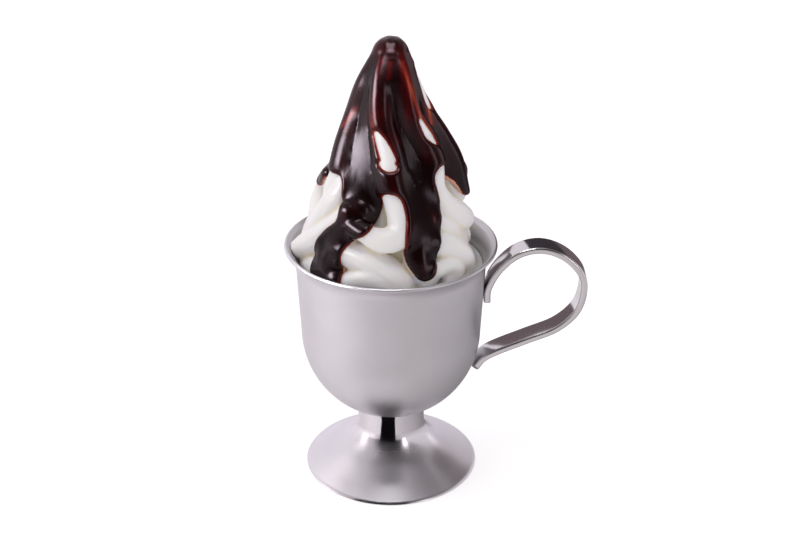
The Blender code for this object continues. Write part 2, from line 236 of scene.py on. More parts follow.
def boolean(item: bpy.types.Object, tool: bpy.types.Object, cut: Cut) -> bpy.types.Object:
    """Combines an object with a tool, and applies it."""
    return modified(item, "BOOLEAN", operation=cut.value, solver="MANIFOLD", object=tool)


def turned(name: str, line: Sequence[Row], steps: int = HIDDEN_STEPS) -> bpy.types.Object:
    """Turns a section about the cup's axis into a closed solid.

    Args:
        name: The object's name.
        line: Rows of radius and height.
        steps: How many steps go round.

    Returns:
        The object, still about the world's own axis.
    """
    mesh = bpy.data.meshes.new(name)
    corners = [(radius * MM, 0.0, height * MM) for radius, height in line]
    edges = [(index, index + 1) for index in range(len(line) - 1)]
    if line[0][0] > 0.0:
        edges.append((len(line) - 1, 0))
    mesh.from_pydata(corners, edges, [])
    return modified(place(name, mesh), "SCREW", axis="Z", angle=math.radians(360), steps=steps,
                    render_steps=steps, use_merge_vertices=True, merge_threshold=AXIS_WELD)


def lofted(name: str, rings: Sequence[np.ndarray]) -> bpy.types.Mesh:
    """Skins a row of rings and closes both its ends.

    Args:
        name: The mesh's name.
        rings: Rings of points in millimetres, all with as many points.

    Returns:
        The mesh.
    """
    mesh = bpy.data.meshes.new(name)
    around = len(rings[0])
    corners = [tuple(point * MM) for ring in rings for point in ring]
    faces = [tuple(range(around)), tuple(range((len(rings) - 1) * around, len(corners)))]
    for ring in range(len(rings) - 1):
        for side in range(around):
            low, high = ring * around, (ring + 1) * around
            after = (side + 1) % around
            faces.append((low + side, low + after, high + after, high + side))
    mesh.from_pydata(corners, [], faces)
    return clean(mesh)


def rolled(name: str, lines: Sequence[np.ndarray], sides: int) -> bpy.types.Mesh:
    """Sweeps a round roll of changing size along each line.

    Args:
        name: The mesh's name.
        lines: Lines of rows with x, y, z and the roll's radius.
        sides: How many sides the roll has.

    Returns:
        One mesh that holds all rolls.
    """
    curve = bpy.data.curves.new(name, "CURVE")
    curve.dimensions = "3D"
    curve.twist_mode = "MINIMUM"
    curve.use_fill_caps = True
    curve.bevel_resolution = sides // 4 - 1
    curve.bevel_depth = MM
    for line in lines:
        spline = curve.splines.new("POLY")
        spline.points.add(len(line) - 1)
        for point, (x, y, z, size) in zip(spline.points, line):
            point.co = (x * MM, y * MM, z * MM, 1.0)
            point.radius = size
    item = place(name, curve)
    mesh = evaluated(item)
    drop(item)
    return mesh


def joined(first: bpy.types.Mesh, *others: bpy.types.Mesh) -> bpy.types.Mesh:
    """Puts the faces of several meshes into the first one.

    Args:
        first: The mesh that grows.
        others: The meshes whose faces it takes.

    Returns:
        The first mesh.
    """
    shape = bmesh.new()
    for mesh in (first, *others):
        shape.from_mesh(mesh)
    shape.to_mesh(first)
    shape.free()
    return first


def read_surface(mesh: bpy.types.Mesh) -> tuple[np.ndarray, np.ndarray]:
    """Reads a mesh's vertices in millimetres and its vertex normals.

    Args:
        mesh: The mesh to read.

    Returns:
        The places and the normals.
    """
    count = len(mesh.vertices) * 3
    places, normals = np.empty(count), np.empty(count)
    mesh.vertices.foreach_get("co", places)
    mesh.vertices.foreach_get("normal", normals)
    return places.reshape(-1, 3) / MM, normals.reshape(-1, 3)


def turns(places: np.ndarray) -> np.ndarray:
    """Gives the angle in degrees at which each place stands round the axis."""
    return np.degrees(np.arctan2(places[:, 0], -places[:, 1]))


def write_surface(mesh: bpy.types.Mesh, places: np.ndarray) -> None:
    """Writes a mesh's vertices from millimetres."""
    mesh.vertices.foreach_set("co", (places * MM).ravel())
    mesh.update()


def write_values(mesh: bpy.types.Mesh, name: str, values: np.ndarray) -> None:
    """Keeps one number for each of a mesh's vertices, for its finish to read."""
    kept = mesh.attributes.new(name, "FLOAT", "POINT")
    kept.data.foreach_set("value", values.astype(np.float32))


class Neighbours:
    """The edges of a mesh, to average what stands at its vertices."""

    shortest_edge = 0.01

    def __init__(self, mesh: bpy.types.Mesh) -> None:
        """Reads the mesh's edges."""
        ends = np.empty(len(mesh.edges) * 2, int)
        mesh.edges.foreach_get("vertices", ends)
        self.one, self.two = ends.reshape(-1, 2).T
        self.count = len(mesh.vertices)
        links = np.bincount(self.one, minlength=self.count)
        self.links = np.maximum(links + np.bincount(self.two, minlength=self.count), 1)

    def mean(self, values: np.ndarray) -> np.ndarray:
        """Averages one number a vertex over each vertex's neighbours.

        Args:
            values: One number for each vertex.

        Returns:
            The means.
        """
        total = np.bincount(self.one, values[self.two], self.count)
        total += np.bincount(self.two, values[self.one], self.count)
        return total / self.links

    def slope(self, values: np.ndarray, places: np.ndarray) -> np.ndarray:
        """Tells how fast a number changes along the surface at each vertex.

        Args:
            values: One number for each vertex.
            places: The vertices' places.

        Returns:
            The slopes.
        """
        length = np.linalg.norm(places[self.one] - places[self.two], axis=1)
        length = np.maximum(length, self.shortest_edge)
        steep = ((values[self.one] - values[self.two]) / length) ** 2
        total = np.bincount(self.one, steep, self.count)
        total += np.bincount(self.two, steep, self.count)
        return np.sqrt(2.0 * total / self.links)

    def mean_places(self, places: np.ndarray) -> np.ndarray:
        """Averages one point a vertex over each vertex's neighbours."""
        return np.stack([self.mean(places[:, side]) for side in range(3)], axis=1)


def keep_largest(item: bpy.types.Object) -> bpy.types.Object:
    """Drops every loose scrap of a mesh and keeps its largest body.

    Args:
        item: The object to clean.

    Returns:
        The same object.
    """
    shape = bmesh.new()
    shape.from_mesh(item.data)
    left = set(shape.faces)
    bodies = []
    while left:
        found = [left.pop()]
        for face in found:
            for edge in face.edges:
                near = [other for other in edge.link_faces if other in left]
                left.difference_update(near)
                found.extend(near)
        bodies.append(found)
    for body in sorted(bodies, key=len)[:-1]:
        bmesh.ops.delete(shape, geom=body, context="FACES")
    loose = [corner for corner in shape.verts if not corner.link_faces]
    bmesh.ops.delete(shape, geom=loose, context="VERTS")
    shape.to_mesh(item.data)
    shape.free()
    return item


def sign(operation: str, swapped: bool = False) -> Callable[["Wire", Any], "Wire"]:
    """Makes the method that lets a sign such as + stand for a Math node.

    Args:
        operation: What the node works out.
        swapped: Whether the wire stands after the sign.

    Returns:
        The method.
    """
    def method(wire: "Wire", other: Any) -> "Wire":
        """Adds the sign's node and gives its result."""
        return wire.worked(operation, *((other, wire) if swapped else (wire, other)))

    return method


class Wire:
    """An output of a shader node that takes part in plain sums.

    Its turn_from another is the angle whose tangent is the one divided by the other.
    """

    __add__, __radd__ = sign("ADD"), sign("ADD", True)
    __sub__, __rsub__ = sign("SUBTRACT"), sign("SUBTRACT", True)
    __mul__, __rmul__ = sign("MULTIPLY"), sign("MULTIPLY", True)
    __truediv__, __pow__ = sign("DIVIDE"), sign("POWER")
    turn_from, lower = sign("ARCTAN2"), sign("MINIMUM")

    def __init__(self, bench: "Bench", socket: bpy.types.NodeSocket) -> None:
        """Wraps an output socket."""
        self.bench = bench
        self.socket = socket

    def worked(self, operation: str, *values: Any) -> "Wire":
        """Adds one Math node and gives its result."""
        return self.bench.node("ShaderNodeMath", {"operation": operation}, dict(enumerate(values)))

    def raised(self) -> "Wire":
        """Gives e raised to self."""
        return self.worked("EXPONENT", self)

    def rise(self) -> "Wire":
        """Gives the angle whose sine is self."""
        return self.worked("ARCSINE", self)

    def size(self) -> "Wire":
        """Gives self without its sign."""
        return self.worked("ABSOLUTE", self)

    def limited(self) -> "Wire":
        """Keeps the value between 0 and 1."""
        return self.worked("MINIMUM", self.worked("MAXIMUM", self, 0.0), 1.0)

    def eased(self) -> "Wire":
        """Keeps the value between 0 and 1, and bends it so that both ends are flat."""
        part = self.limited()
        return part * part * (3.0 - 2.0 * part)


class Bench:
    """A node tree under construction."""

    def __init__(self, tree: bpy.types.NodeTree) -> None:
        """Takes the tree."""
        self.tree = tree

    def feed(self, socket: bpy.types.NodeSocket, value: Any) -> None:
        """Links a wire to a socket, or sets the socket's own value."""
        if isinstance(value, Wire):
            self.tree.links.new(value.socket, socket)
        elif isinstance(value, tuple) and len(value) == 3 and socket.type == "RGBA":
            socket.default_value = (*value, 1.0)
        else:
            socket.default_value = value

    def node(self, kind: str, settings: Mapping[str, Any] | None = None,
             sockets: Mapping[int | str, Any] | None = None, output: int | str = 0) -> Wire:
        """Adds a node.

        Args:
            kind: The node's type.
            settings: Its settings, and a ramp's stops as pairs of place and colour.
            sockets: The values or wires of its inputs.
            output: Which output to give back.

        Returns:
            The output.
        """
        made = self.tree.nodes.new(kind)
        for name, value in (settings or {}).items():
            if name == "stops":
                while len(made.color_ramp.elements) < len(value):
                    made.color_ramp.elements.new(0.5)
                for stop, (position, colour) in zip(made.color_ramp.elements, value):
                    stop.position = position
                    stop.color = (*colour, 1.0)
            else:
                setattr(made, name, value)
        for key, value in (sockets or {}).items():
            self.feed(made.inputs[key], value)
        return Wire(self, made.outputs[output])

    def dot(self, vector: Wire, other: Row) -> Wire:
        """Gives the product of a vector with a fixed direction."""
        return self.node("ShaderNodeVectorMath", {"operation": "DOT_PRODUCT"},
                         {0: vector, 1: other}, output="Value")

    def parts(self, vector: Wire) -> list[Wire]:
        """Gives a vector's three numbers."""
        split = self.node("ShaderNodeSeparateXYZ", sockets={0: vector}).socket.node
        return [Wire(self, socket) for socket in split.outputs]

    def ramp(self, value: Wire, stops: Sequence[tuple[float, Colour]]) -> Wire:
        """Turns a value of 0 to 1 into a colour, by pairs of place and colour."""
        return self.node("ShaderNodeValToRGB", {"stops": stops}, {0: value})

    def mix(self, share: Any, first: Any, second: Any, blend: str = "MIX") -> Wire:
        """Mixes two colours, at the Mix node's sockets for colours, by the second one's share."""
        settings = {"data_type": "RGBA", "blend_type": blend, "clamp_factor": blend == "MIX"}
        return self.node("ShaderNodeMix", settings, {0: share, 6: first, 7: second}, output=2)


class Paint(Bench):
    """A material under construction, with one Principled shader."""

    def __init__(self, name: str) -> None:
        """Makes an empty material."""
        self.material = bpy.data.materials.new(name)
        self.material.use_nodes = True
        super().__init__(self.material.node_tree)
        self.shader = self.tree.nodes["Principled BSDF"]

    def set(self, **sockets: Any) -> None:
        """Sets the shader's sockets, each named with _ for its spaces."""
        for name, value in sockets.items():
            self.feed(self.shader.inputs[name.replace("_", " ")], value)

    def place_in_object(self) -> Wire:
        """Gives the place on the object, in metres."""
        return self.node("ShaderNodeTexCoord", output="Object")

    def kept_value(self, name: str) -> Wire:
        """Gives the number that the mesh keeps for each vertex under a name."""
        return self.node("ShaderNodeAttribute", {"attribute_name": name}, output="Fac")

    def scaled(self, vector: Wire, scale: Row) -> Wire:
        """Multiplies a vector by three numbers."""
        return self.node("ShaderNodeVectorMath", {"operation": "MULTIPLY"}, {0: vector, 1: scale})

    def round_the_axis(self, tightness: Row) -> Wire:
        """Gives a vector of turn, radius and height round the cup's axis.

        Args:
            tightness: What the turn (a radian), radius and height (a metre) are multiplied by.

        Returns:
            The vector.
        """
        x, y, z = self.parts(self.place_in_object())
        x = x - AXIS_X * MM
        radius = (x * x + y * y) ** 0.5
        parts = (x.turn_from(y), radius, z)
        values = {index: part * factor for index, (part, factor) in enumerate(zip(parts, tightness))}
        return self.node("ShaderNodeCombineXYZ", sockets=values)

    def noise(self, vector: Wire, scale: float, detail: float = 2.0, roughness: float = 0.5) -> Wire:
        """Gives a noise of 0 to 1, with a scale, finer layers and how strong they are."""
        return self.node("ShaderNodeTexNoise", {"noise_dimensions": "3D"},
                         {"Vector": vector, "Scale": scale, "Detail": detail,
                          "Roughness": roughness})

    def bump(self, height: Wire, depth: float) -> Wire:
        """Turns a height of 0 to 1 into a normal, with the metres that 1 stands for."""
        return self.node("ShaderNodeBump", sockets={"Strength": 1.0, "Distance": depth,
                                                    "Height": height})


@dataclass(frozen=True)
class SteelFinish:
    """Stainless steel with fine marks that run round the cup or along the strap."""

    name: str
    tint: Colour = (0.72, 0.715, 0.735)
    # A darker steel colour, painted shade for the bowl's inner wall
    inside_shade_tint: Colour = (0.59, 0.585, 0.58)
    roughness: float = 0.4
    anisotropy: float = 0.0
    darkest: float = 0.88
    # How tight the marks lie by turn, radius and height; their finer layers and how strong these are
    marks: Row = (3.0, 400.0, 2600.0)
    mark_layers: Row = (3.0, 0.6)
    mark_depth: float = 0.000005
    mark_spread: float = 0.06
    mark_direction: float = 0.25
    cloud_scale: float = 60.0
    cloud_layers: float = 3.0
    clouding: float = 0.05
    # Heights in metres between which the roughness rises or falls to the last number
    polish: Row = (0.5, 0.6, 0.0)

    def material(self) -> bpy.types.Material:
        """Makes the material."""
        paint = Paint(self.name)
        where = paint.place_in_object()
        fine = paint.noise(paint.round_the_axis(self.marks), 1.0, *self.mark_layers)
        cloud = paint.noise(where, self.cloud_scale, self.cloud_layers)
        low, high, polished = self.polish
        _, _, height = paint.parts(where)
        base = self.roughness + ((height - low) / (high - low)).eased() * (polished - self.roughness)
        rough = base + (fine - 0.5) * self.mark_spread + (cloud - 0.5) * self.clouding
        dark = tuple(part * self.darkest for part in self.tint)
        # Where the mesh keeps "inside", the colour turns to the painted shade of the inner wall
        colour = paint.mix(paint.kept_value("inside"), paint.mix(cloud, self.tint, dark),
                           self.inside_shade_tint)
        paint.set(Base_Color=colour, Metallic=1.0, Roughness=rough,
                  Anisotropic=self.anisotropy, Anisotropic_Rotation=self.mark_direction,
                  Normal=paint.bump(fine, self.mark_depth))
        return paint.material


@dataclass(frozen=True)
class CreamFinish:
    """Soft white cream with a fine frozen grain, and painted shade that makes its creases a little
    yellow and darker.
    """

    name: str = "cream"
    milk: Colour = (0.84, 0.831, 0.82)
    crease_shade: Colour = (0.79, 0.735, 0.575)
    # The painted crease shade's least share in a crease, and what the clouding adds to it
    crease_shade_least: float = 0.6
    crease_shade_clouding: float = 0.8
    roughness: float = 0.42
    cloud_scale: float = 90.0
    clouding: float = 0.12
    grain_scale: float = 2600.0
    grain_strength: float = 0.6
    grain_spread: float = 0.08
    swirl_scale: float = 320.0
    swirl_squeeze: Row = (1.0, 1.0, 2.4)
    swirl_share: float = 0.75
    relief: float = 0.00012
    # The share of the light that soaks in, how far each colour goes, and that in metres
    soaked: float = 0.6
    soak_colours: Row = (1.0, 0.85, 0.6)
    soak_depth: float = 0.0035
    ior: float = 1.36

    def material(self) -> bpy.types.Material:
        """Makes the material."""
        paint = Paint(self.name)
        where = paint.place_in_object()
        # hollow is how deep a place lies in a crease: it mixes painted yellowish shade into the
        # colour
        hollow = paint.kept_value("hollow").limited()
        cloud = paint.noise(where, self.cloud_scale)
        grain = paint.noise(where, self.grain_scale, roughness=self.grain_strength)
        swirl = paint.noise(paint.scaled(where, self.swirl_squeeze), self.swirl_scale)
        share = hollow * (self.crease_shade_least + cloud * self.crease_shade_clouding)
        rough = self.roughness + (cloud - 0.5) * self.clouding + (grain - 0.5) * self.grain_spread
        height = grain * (1.0 - self.swirl_share) + swirl * self.swirl_share
        paint.set(Base_Color=paint.mix(share, self.milk, self.crease_shade), Roughness=rough,
                  Normal=paint.bump(height, self.relief), Subsurface_Weight=self.soaked,
                  Subsurface_Radius=self.soak_colours, Subsurface_Scale=self.soak_depth,
                  IOR=self.ior)
        return paint.material


@dataclass(frozen=True)
class ChocolateFinish:
    """Glossy chocolate sauce, through which the cream shows where it is thin."""

    name: str = "chocolate"
    # The cream's white under the sauce, and what a millimetre of sauce swallows of each colour
    milk: float = 0.92
    swallowed: Row = (3.8, 9.4, 12.8)
    deep: Colour = (0.0040, 0.0005, 0.0007)
    thinnest: float = 0.08
    roughness: float = 0.2
    streak_scale: float = 300.0
    streak_squeeze: Row = (1.0, 1.0, 0.20)
    streak_layers: Row = (3.0, 0.55)
    streaking: float = 0.9
    streak_spread: float = 0.05
    cloud_scale: float = 70.0
    clouding: float = 1.2
    cloud_spread: float = 0.06
    relief: float = 0.00008
    ior: float = 1.41
    shine: float = 0.34
    shine_tint: Colour = (0.98, 0.86, 0.93)

    def material(self) -> bpy.types.Material:
        """Makes the material."""
        paint = Paint(self.name)
        where = paint.place_in_object()
        thick = paint.kept_value("thickness").lower(paint.kept_value("rim") + self.thinnest)
        streak = paint.noise(paint.scaled(where, self.streak_squeeze), self.streak_scale,
                             *self.streak_layers)
        cloud = paint.noise(where, self.cloud_scale)
        reading = thick * (1.0 + (streak - 0.5) * self.streaking + (cloud - 0.5) * self.clouding)
        through = [self.milk * (reading * -share).raised() for share in self.swallowed]
        seen = paint.node("ShaderNodeCombineColor", sockets=dict(enumerate(through)))
        colour = paint.mix(1.0, seen, self.deep, "ADD")
        rough = (self.roughness + (cloud - 0.5) * self.cloud_spread
                 + (streak - 0.5) * self.streak_spread)
        paint.set(Base_Color=colour, Roughness=rough, IOR=self.ior, Specular_IOR_Level=self.shine,
                  Specular_Tint=self.shine_tint, Normal=paint.bump(streak, self.relief))
        return paint.material


@dataclass(frozen=True)
class FloorFinish:
    """Plain white paper that glows a little, as lit from all round."""

    name: str = "white_paper"
    colour: Colour = (0.86, 0.86, 0.86)
    roughness: float = 0.9
    glow: float = 0.66

    def material(self) -> bpy.types.Material:
        """Makes the material."""
        paint = Paint(self.name)
        paint.set(Base_Color=self.colour, Roughness=self.roughness, Emission_Color=self.colour,
                  Emission_Strength=self.glow, Specular_IOR_Level=0.0)
        return paint.material


def dress(item: bpy.types.Object, material: bpy.types.Material, sharp_angle: float) -> None:
    """Gives an object its material and shades it smooth between its sharp edges."""
    item.data.materials.clear()
    item.data.materials.append(material)
    item.data.shade_smooth()
    item.data.set_sharp_from_angle(angle=math.radians(sharp_angle))


def hand_over(item: bpy.types.Object, node: str) -> bpy.types.Object:
    """Moves a piece onto the cup's axis and lets it stand for its solid.

    Args:
        item: The finished piece.
        node: The solid that it stands for.

    Returns:
        The piece.
    """
    places, _ = read_surface(item.data)
    write_surface(item.data, places + np.array([AXIS_X, 0.0, 0.0]))
    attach(item, "root")
    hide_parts(node)
    LOG.info("%s stands for %s with %d vertices", item.name, node, len(item.data.vertices))
    return item


@dataclass
class Bowl:
    """The spun bowl: an elliptic bottom, a wall that widens a little, and a rolled rim."""

    steps: int = 224
    rim_radius: float = 41.0
    rim_height: float = 98.6
    lip_drop: float = 0.9
    bead: float = 0.72
    radius: float = 35.3
    depth: float = 36.0
    shoulder: float = 61.3
    wall_draft: float = 0.05
    flare_start: float = 91.0
    wall: float = 1.0
    gap: float = 0.3
    bottom_steps: int = 6
    wall_steps: int = 8
    flare_steps: int = 4
    bead_steps: int = 16
    bead_arc: Row = (-75.0, 165.0)
    # How many times finer than the plain solid the shown bowl and its hidden hollow are
    fineness: int = 6
    hollow_fineness: int = 3
    # Shares of the bead's radius below the rim, where the wall and the painted shade on the inner
    # wall end
    bead_clear: float = 1.9
    inside_shade_clear: float = 2.0
    inward_least: float = 0.2
    # The room for food above the rim, and the tops of the hidden food over the heap's underside
    room_step: float = 0.2
    room_spread: float = 1.5
    room_top: float = 200.0
    filling_top: Line = field(default_factory=lambda: [(36.0, 5.5), (30.0, 8.0), (0.0, 8.0)])
    finish: SteelFinish = field(default_factory=lambda: SteelFinish(
        "satin_steel", roughness=0.42, anisotropy=0.25))

    def side(self, fine: int) -> Line:
        """Gives the outer side from the middle of the bottom up to under the lip.

        Args:
            fine: How many times finer than the plain solid it is.

        Returns:
            Rows of radius and height.
        """
        line = []
        for turn in np.radians(np.linspace(0, 90, self.bottom_steps * fine + 1)):
            line.append((self.radius * math.sin(turn), self.shoulder - self.depth * math.cos(turn)))
        top = self.radius + (self.flare_start - self.shoulder) * self.wall_draft
        for part in np.linspace(0, 1, self.wall_steps, endpoint=False)[1:]:
            line.append((self.radius + (top - self.radius) * part,
                         self.shoulder + (self.flare_start - self.shoulder) * part))
        flare_rise = self.rim_height - self.lip_drop - self.flare_start
        for part in np.linspace(0, 1, self.flare_steps * fine + 1):
            line.append((top + (self.rim_radius - self.lip_drop / 2 - top) * part ** 2,
                         self.flare_start + flare_rise * part))
        return line

    def hollow(self, inset: float, fine: int) -> Line:
        """Gives the side moved inwards, still closed at the axis."""
        line = offset_line(self.side(fine), inset)
        return [(0.0, line[0][1]), *line[1:]]

    def mark_inside_shade(self, item: bpy.types.Object) -> None:
        """Keeps which places look inwards, where the steel's colour is darkened with painted shade.
        """
        places, normals = read_surface(item.data)
        inwards = -(places[:, :2] * normals[:, :2]).sum(axis=1) / self.radius
        low = places[:, 2] < self.rim_height - self.inside_shade_clear * self.bead
        inside = low & (inwards > self.inward_least)
        # The inside value marks where painted shade darkens the steel
        write_values(item.data, "inside", np.where(inside, 1.0, 0.0))

    def build(self) -> bpy.types.Object:
        """Makes the bowl with a round bead for its rim."""
        middle = (self.rim_radius - self.bead, self.rim_height - self.bead)
        rim = arc(middle, self.bead, *self.bead_arc, self.bead_steps)
        under_bead = self.rim_height - self.bead_clear * self.bead
        outer = [row for row in self.side(self.fineness) if row[1] < under_bead]
        inner = [row for row in self.hollow(self.wall, self.fineness) if row[1] < middle[1]]
        item = turned("steel_bowl", outer + rim + inner[::-1], self.steps)
        self.mark_inside_shade(item)
        dress(item, self.finish.material(), STEEL_SHARP)
        return hand_over(item, "bowl")

    def room(self) -> bpy.types.Object:
        """Makes the room that food may take up: the bowl's hollow and all above the rim."""
        above = self.rim_height + self.gap + self.room_step
        wide = self.rim_radius * self.room_spread
        inner = self.hollow(self.wall + self.gap, self.hollow_fineness)
        return turned("room", [*inner, (inner[-1][0], above), (wide, above),
                               (wide, self.room_top), (0.0, self.room_top)])

    def filling(self, low: float) -> bpy.types.Object:
        """Makes the food that the bowl hides, a little larger than the bowl's hollow.

        Args:
            low: The height of the heap's underside.

        Returns:
            The filling, which reaches up into the heap.
        """
        inside = [row for row in self.hollow(self.wall, self.hollow_fineness) if row[1] < low]
        return turned("filling", [*inside, *[(out, low + rise) for out, rise in self.filling_top]])


@dataclass
class Foot:
    """The hollow foot, from its resting edge to the stem under the bowl."""

    steps: int = 224
    line: Line = field(default_factory=lambda: [
        (34.6, 0.8), (29.0, 3.7), (19.5, 9.3), (14.2, 16.0), (13.3, 22.0)])
    wall: float = 1.0
    rest_ring: float = 2.2
    stem_top_radius: float = 13.9
    stem_lap: float = 0.02
    stem_lip: float = 0.25
    edge_round: float = 0.35
    edge_arc: Row = (-90.0, 20.0)
    edge_steps: int = 6
    curve_steps: int = 10
    # How far in from the edge the foot's hollow starts
    inner_start: float = 3.2
    bowl: Bowl = field(default_factory=Bowl)
    finish: SteelFinish = field(default_factory=lambda: SteelFinish(
        "foot_steel", tint=(0.79, 0.775, 0.80), roughness=0.32, anisotropy=0.35,
        mark_depth=0.000001, clouding=0.03, polish=(0.010, 0.021, 0.09)))

    def build(self) -> bpy.types.Object:
        """Makes the foot, with its stem up against the bowl."""
        share = math.sqrt(1.0 - (self.stem_top_radius / self.bowl.radius) ** 2)
        stem_top = self.bowl.shoulder - self.bowl.depth * share + self.stem_lap
        points = [*self.line, (self.stem_top_radius, stem_top)]
        outer = [tuple(row) for row in smooth_line(points, self.curve_steps)]
        edge = self.line[0][0]
        inner = [row for row in offset_line(outer, self.wall) if row[0] < edge - self.inner_start]
        inner = inner[:-1]
        middle = (edge - self.edge_round, self.edge_round)
        ring = [(edge - self.rest_ring, 0.0)]
        ring += arc(middle, self.edge_round, *self.edge_arc, self.edge_steps)
        inside = [(self.stem_top_radius - self.wall, stem_top - self.stem_lip)]
        item = turned("steel_foot", ring + outer[1:] + inside + inner[::-1], self.steps)
        dress(item, self.finish.material(), STEEL_SHARP)
        return hand_over(item, "foot")


@dataclass
class Handle:
    """The bent strap handle with its two tabs."""

    width: float = 10.0
    thickness: float = 2.6
    corner: float = 0.8
    corner_limit: float = 0.45
    corner_steps: int = 7
    line: Line = field(default_factory=lambda: [
        (37.4, 74.0), (37.8, 80.0), (41.6, 87.6), (48.6, 94.3), (57.6, 96.6), (66.6, 93.5),
        (73.4, 86.4), (74.86, 79.0), (72.4, 69.8), (65.0, 62.3), (53.3, 57.0), (42.4, 52.2),
        (36.4, 48.6), (33.2, 43.8)])
    # How far from its first and its last end the strap narrows to a round tip
    end_rounds: Row = (0.9, 2.6)
    end_steps: int = 6
    curve_steps: int = 9
    aim_reach: float = 0.3
    finish: SteelFinish = field(default_factory=lambda: SteelFinish(
        "polished_strap", tint=(0.70, 0.69, 0.69), roughness=0.12, marks=(40.0, 300.0, 300.0),
        mark_depth=0.000004, clouding=0.04))

    def outline(self, width: float, thickness: float) -> Line:
        """Gives the strap's section, a flat rectangle with small round corners.

        Args:
            width: Its full width.
            thickness: Its full thickness.

        Returns:
            Rows of two numbers, across the thickness and across the width.
        """
        corner = min(self.corner, self.corner_limit * thickness, self.corner_limit * width)
        points = []
        for turn, (side, rise) in zip((0, 90, 180, 270), ((1, 1), (-1, 1), (-1, -1), (1, -1))):
            middle = (side * (thickness / 2 - corner), rise * (width / 2 - corner))
            points += arc(middle, corner, turn, turn + 90, self.corner_steps)
        return points

    def build(self) -> bpy.types.Object:
        """Makes the handle."""
        path = smooth_line(self.line, self.curve_steps)
        run = np.concatenate([[0.0], np.cumsum(np.linalg.norm(np.diff(path, axis=0), axis=1))])
        bend = 1 - np.cos(np.linspace(0, math.pi / 2, self.end_steps + 1))
        first, last = self.end_rounds
        stops = np.unique(np.concatenate([run, first * bend, run[-1] - last * bend]))
        rings = []
        for stop in stops:
            behind, point, ahead = (
                np.array([np.interp(stop + step, run, path[:, side]) for side in range(2)])
                for step in (-self.aim_reach, 0.0, self.aim_reach))
            along = (ahead - behind) / np.linalg.norm(ahead - behind)
            across = np.array([-along[1], along[0]])
            width = self.width
            for reach, size in zip((stop, run[-1] - stop), self.end_rounds):
                if reach < size:
                    width -= 2 * size * (1 - math.sqrt(1 - (1 - reach / size) ** 2))
            rings.append(np.array([(point[0] + across[0] * t, w, point[1] + across[1] * t)
                                   for t, w in self.outline(width, self.thickness)]))
        item = place("steel_handle", lofted("steel_handle", rings))
        dress(item, self.finish.material(), STEEL_SHARP)
        return hand_over(item, "handle")


